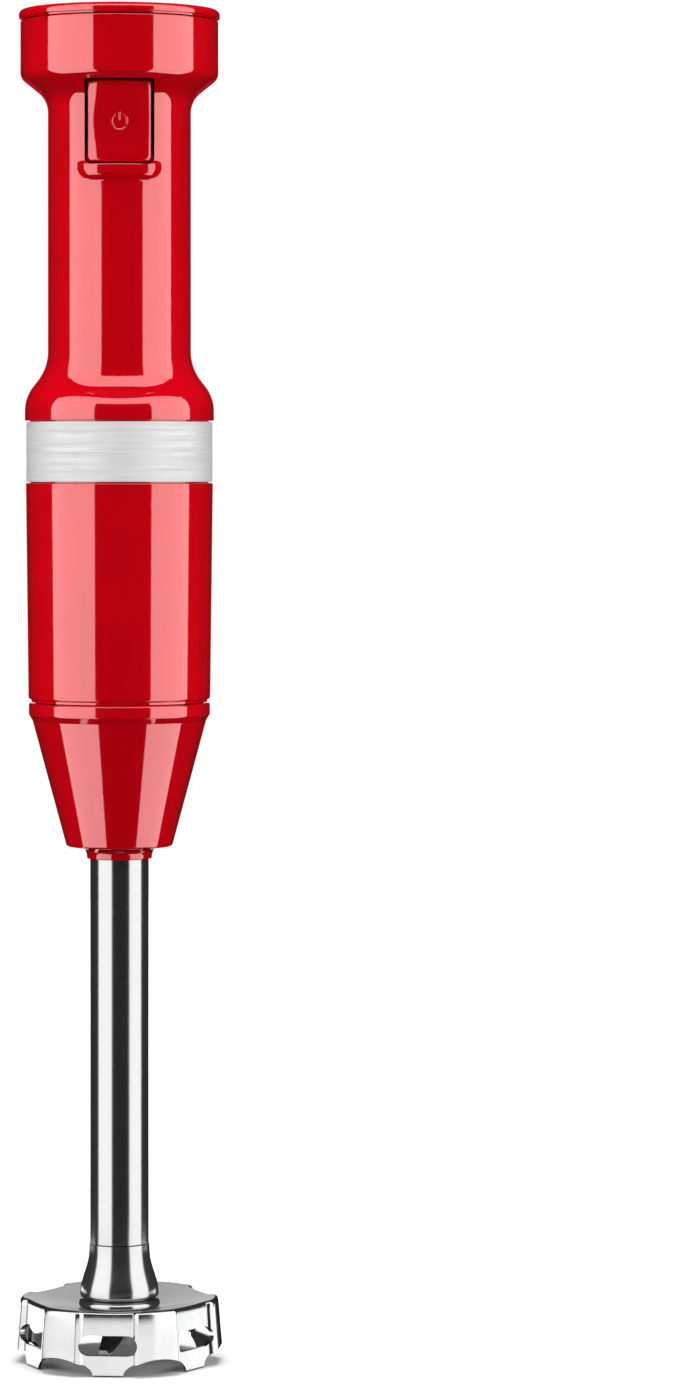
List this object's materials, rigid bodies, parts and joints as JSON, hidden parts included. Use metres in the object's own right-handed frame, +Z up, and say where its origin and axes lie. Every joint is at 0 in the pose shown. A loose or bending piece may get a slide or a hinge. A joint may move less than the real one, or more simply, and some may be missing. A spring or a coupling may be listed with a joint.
{
  "type": "immersion blender",
  "caption": "Corded immersion blender: red handle with speed dial and power button, steel band, tapered motor housing, twist-off steel arm and slotted bell guard over a winged blade.",
  "frame": {"origin": "centre of the blade guard's feet, on the surface that the blender stands on", "axes": "+Z up along the drive axis; -Y is the front, with the power button; +X is to the right seen from the front"},
  "size_m": [0.0632, 0.0625, 0.4156],
  "materials": {
    "red_plastic": "high gloss",
    "polished_steel": "mirror polished",
    "brushed_steel": "fine horizontal brushing",
    "black_plastic": "satin",
    "motor_iron": "laminated and pressed",
    "copper": "enamelled wire",
    "plain_steel": "ground",
    "brass": "satin",
    "black_rubber": "matt",
    "carbon": "matt",
    "circuit_green": "satin",
    "yellow_film": "satin",
    "heatsink_aluminium": "matt"
  },
  "bodies": {
    "motor_body": {"front_shell": "red_plastic", "rear_shell": "red_plastic", "top_deck": "black_plastic", "trim_band": "brushed_steel", "motor_housing": "red_plastic", "bayonet_spigot": "black_plastic", "cord_gland": "black_rubber", "speed_potentiometer": "plain_steel", "switch_bracket": "black_plastic", "power_switch": "black_plastic", "button_spring": "plain_steel", "circuit_board": "circuit_green", "suppression_capacitor": "yellow_film", "triac_heatsink": "heatsink_aluminium", "motor_lead_left": "black_rubber", "motor_lead_right": "black_rubber", "stator_core": "motor_iron", "field_coil_front": "copper", "field_coil_rear": "copper", "brush_holder_left": "brass", "brush_holder_right": "brass", "carbon_brush_left": "carbon", "carbon_brush_right": "carbon", "upper_bracket": "heatsink_aluminium", "lower_bracket": "heatsink_aluminium", "motor_upper_bearing": "plain_steel", "motor_lower_bearing": "plain_steel", "motor_mount": "black_rubber", "motor_bolt_left": "plain_steel", "motor_bolt_right": "plain_steel", "shell_screw_1": "plain_steel", "shell_screw_2": "plain_steel", "shell_screw_3": "plain_steel", "shell_screw_4": "plain_steel"},
    "dial_body": {"speed_dial": "red_plastic", "potentiometer_shaft": "brass"},
    "button_body": {"power_button": "red_plastic"},
    "plunger_body": {"switch_plunger": "red_plastic"},
    "rotor_body": {"motor_shaft": "plain_steel", "armature_core": "motor_iron", "winding_lower": "copper", "winding_upper": "copper", "commutator": "copper", "cooling_fan": "black_plastic", "motor_coupling": "plain_steel"},
    "arm_body": {"arm_collar": "red_plastic", "arm_socket": "black_plastic", "arm_tube": "polished_steel", "arm_upper_bearing": "brass", "arm_lower_bearing": "brass", "shaft_seal": "black_rubber", "bell_neck": "polished_steel", "neck_ring": "polished_steel", "blade_guard": "polished_steel"},
    "drive_body": {"drive_shaft": "plain_steel", "shaft_coupling": "black_plastic", "blade": "polished_steel", "blade_hub": "plain_steel", "blade_nut": "plain_steel"}
  },
  "joints": [
    {"name": "speed_dial_turn", "type": "hinge", "parent": "motor_body", "child": "dial_body", "pos_m": [0, 0, 0.4129], "axis": [0, 0, 1], "range_deg": [0, 270]},
    {"name": "power_button_press", "type": "slide", "parent": "motor_body", "child": "button_body", "axis": [0, 1, 0], "range_m": [0, 0.0025], "stiffness_N_per_m": 600, "springref_m": -0.002, "deforming": ["button_spring"]},
    {"name": "switch_plunger_press", "type": "slide", "parent": "motor_body", "child": "plunger_body", "axis": [0, 1, 0], "range_m": [0, 0.002]},
    {"name": "rotor_spin", "type": "hinge", "parent": "motor_body", "child": "rotor_body", "pos_m": [0, 0, 0.243], "axis": [0, 0, 1], "continuous": true},
    {"name": "arm_twist_lock", "type": "hinge", "parent": "motor_body", "child": "arm_body", "pos_m": [0, 0, 0.195], "axis": [0, 0, 1], "range_deg": [0, 30]},
    {"name": "blade_spin", "type": "hinge", "parent": "arm_body", "child": "drive_body", "pos_m": [0, 0, 0.1], "axis": [0, 0, 1], "continuous": true}
  ],
  "couplings": [
    {"joint": "switch_plunger_press", "follows": "power_button_press", "ratio": 0.8},
    {"joint": "blade_spin", "follows": "rotor_spin", "ratio": 1}
  ]
}
